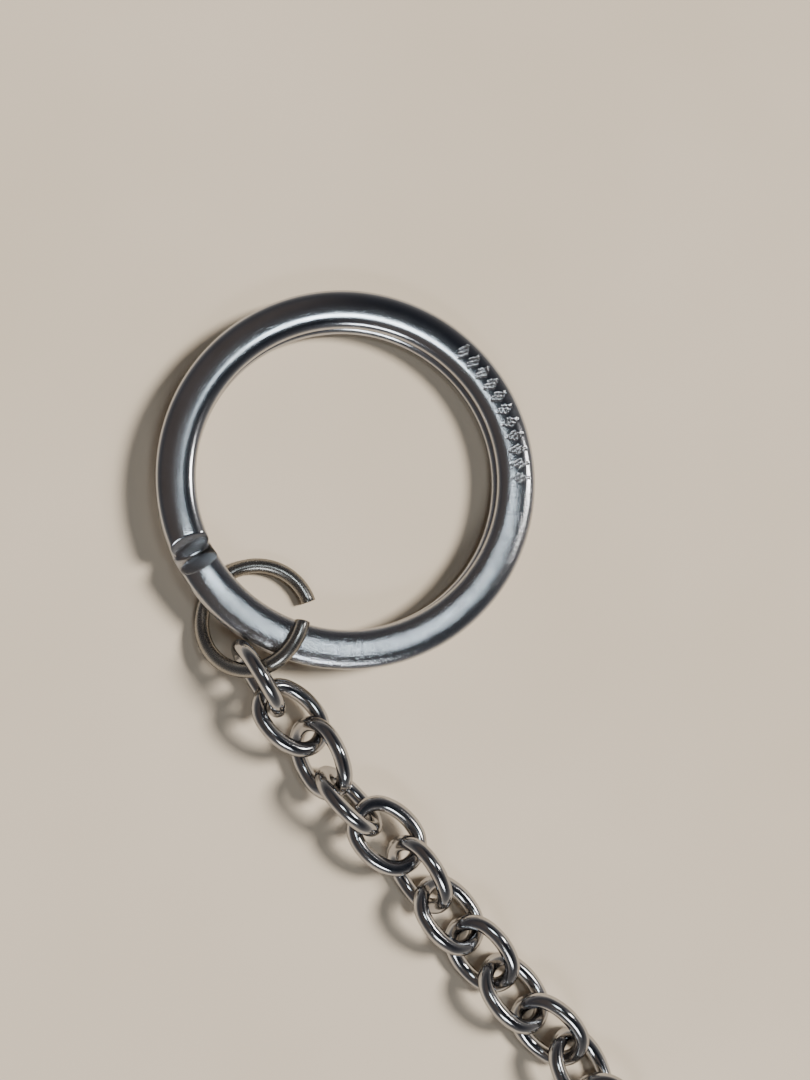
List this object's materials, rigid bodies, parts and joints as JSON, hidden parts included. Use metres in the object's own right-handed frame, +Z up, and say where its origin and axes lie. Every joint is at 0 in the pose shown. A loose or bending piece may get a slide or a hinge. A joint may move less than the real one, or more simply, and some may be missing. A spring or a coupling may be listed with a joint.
{
  "type": "key chain",
  "caption": "Double-coil split key ring with an open jump ring, a cable chain and a swivel bolt snap.",
  "frame": {"origin": "centre of the split ring, on the surface that the key chain lies on", "axes": "+X along the chain from the ring to the bolt snap, +Z up out of the ring's face, +Y across"},
  "size_m": [0.1429, 0.0445, 0.0072],
  "materials": {
    "ring_steel": "bright nickel-plated, lightly scratched",
    "wire_steel": "dull drawn wire",
    "link_steel": "polished, tumbled",
    "washer_brass": "satin",
    "spring_steel": "drawn wire",
    "snap_metal": "nickel-plated casting",
    "bolt_steel": "nickel-plated, turned"
  },
  "bodies": {
    "jump_ring": {"jump_ring": "wire_steel"},
    "split_ring": {"split_ring": "ring_steel"},
    "link_01": {"link_01": "link_steel"},
    "link_02": {"link_02": "link_steel"},
    "link_03": {"link_03": "link_steel"},
    "link_04": {"link_04": "link_steel"},
    "link_05": {"link_05": "link_steel"},
    "link_06": {"link_06": "link_steel"},
    "link_07": {"link_07": "link_steel"},
    "link_08": {"link_08": "link_steel"},
    "link_09": {"link_09": "link_steel"},
    "link_10": {"link_10": "link_steel"},
    "link_11": {"link_11": "link_steel"},
    "link_12": {"link_12": "link_steel"},
    "link_13": {"link_13": "link_steel"},
    "link_14": {"link_14": "link_steel"},
    "link_15": {"link_15": "link_steel"},
    "link_16": {"link_16": "link_steel"},
    "link_17": {"link_17": "link_steel"},
    "link_18": {"link_18": "link_steel"},
    "end_ring": {"end_ring": "wire_steel"},
    "swivel_eye": {"swivel_eye": "snap_metal", "swivel_washer": "washer_brass"},
    "snap_body": {"snap_body": "snap_metal", "bolt_spring": "spring_steel"},
    "snap_bolt": {"snap_bolt": "bolt_steel", "thumb_stud": "bolt_steel"}
  },
  "joints": [
    {"name": "jump_ring_slide", "type": "hinge", "parent": "jump_ring", "child": "split_ring", "pos_m": [0, 0, 0.0024], "axis": [0, 0.0488, 0.9988], "continuous": true},
    {"name": "link_01_swing", "type": "hinge", "parent": "jump_ring", "child": "link_01", "pos_m": [0.00717, -0.01827, 0.00444], "axis": [-0.1652, -0.9767, 0.1371], "range_deg": [0, 60]},
    {"name": "link_02_swing", "type": "hinge", "parent": "link_01", "child": "link_02", "pos_m": [0.01051, -0.01864, 0.00358], "axis": [0, 0, 1], "range_deg": [-30, 9]},
    {"name": "link_03_swing", "type": "hinge", "parent": "link_02", "child": "link_03", "pos_m": [0.01517, -0.01798, 0.00317], "axis": [0, 0, 1], "range_deg": [-6, 30]},
    {"name": "link_04_swing", "type": "hinge", "parent": "link_03", "child": "link_04", "pos_m": [0.01963, -0.01952, 0.00317], "axis": [0, 0, 1], "range_deg": [-30, 7]},
    {"name": "link_05_swing", "type": "hinge", "parent": "link_04", "child": "link_05", "pos_m": [0.02434, -0.01919, 0.00309], "axis": [0, 0, 1], "range_deg": [-17, 7]},
    {"name": "link_06_swing", "type": "hinge", "parent": "link_05", "child": "link_06", "pos_m": [0.02901, -0.01853, 0.00284], "axis": [0, 0, -1], "range_deg": [-30, 6]},
    {"name": "link_07_swing", "type": "hinge", "parent": "link_06", "child": "link_07", "pos_m": [0.03364, -0.01943, 0.00267], "axis": [0, 0, -1], "range_deg": [-25, 30]},
    {"name": "link_08_swing", "type": "hinge", "parent": "link_07", "child": "link_08", "pos_m": [0.03834, -0.01927, 0.00226], "axis": [0, 0, -1], "range_deg": [-27, 18]},
    {"name": "link_09_swing", "type": "hinge", "parent": "link_08", "child": "link_09", "pos_m": [0.04304, -0.01968, 0.00218], "axis": [0, 0, -1], "range_deg": [-20, 30]},
    {"name": "link_10_swing", "type": "hinge", "parent": "link_09", "child": "link_10", "pos_m": [0.04776, -0.0196, 0.00218], "axis": [0, 0, 1], "range_deg": [-27, 22]},
    {"name": "link_11_swing", "type": "hinge", "parent": "link_10", "child": "link_11", "pos_m": [0.05247, -0.01927, 0.00218], "axis": [0, 0, 1], "range_deg": [-12, 30]},
    {"name": "link_12_swing", "type": "hinge", "parent": "link_11", "child": "link_12", "pos_m": [0.05711, -0.02009, 0.00218], "axis": [0, 0, 1], "range_deg": [-30, 13]},
    {"name": "link_13_swing", "type": "hinge", "parent": "link_12", "child": "link_13", "pos_m": [0.06181, -0.0196, 0.00218], "axis": [0, 0, 1], "range_deg": [-16, 30]},
    {"name": "link_14_swing", "type": "hinge", "parent": "link_13", "child": "link_14", "pos_m": [0.06652, -0.01984, 0.00218], "axis": [0, 0, -1], "range_deg": [-16, 30]},
    {"name": "link_15_swing", "type": "hinge", "parent": "link_14", "child": "link_15", "pos_m": [0.07122, -0.01943, 0.00218], "axis": [0, 0, -1], "range_deg": [-30, 18]},
    {"name": "link_16_swing", "type": "hinge", "parent": "link_15", "child": "link_16", "pos_m": [0.07593, -0.01976, 0.00218], "axis": [0, 0, -1], "range_deg": [-18, 30]},
    {"name": "link_17_swing", "type": "hinge", "parent": "link_16", "child": "link_17", "pos_m": [0.08065, -0.01951, 0.00218], "axis": [0, 0, -1], "range_deg": [-28, 19]},
    {"name": "link_18_swing", "type": "hinge", "parent": "link_17", "child": "link_18", "pos_m": [0.08536, -0.01968, 0.00226], "axis": [0, 0, 1], "range_deg": [-27, 25]},
    {"name": "end_ring_swing", "type": "hinge", "parent": "link_18", "child": "end_ring", "pos_m": [0.09008, -0.01968, 0.00235], "axis": [0, 0, 1], "range_deg": [-23, 23]},
    {"name": "swivel_eye_swing", "type": "hinge", "parent": "end_ring", "child": "swivel_eye", "pos_m": [0.09535, -0.01968, 0.00235], "axis": [0, 0, 1], "range_deg": [-10, 10]},
    {"name": "snap_swivel", "type": "hinge", "parent": "swivel_eye", "child": "snap_body", "pos_m": [0.09739, -0.01968, 0.00235], "axis": [1, 0, 0], "continuous": true},
    {"name": "bolt_slide", "type": "slide", "parent": "snap_body", "child": "snap_bolt", "axis": [-1, 0, 0], "range_m": [0, 0.0038], "stiffness_N_per_m": 300, "springref_m": -0.003, "deforming": ["bolt_spring"]}
  ]
}
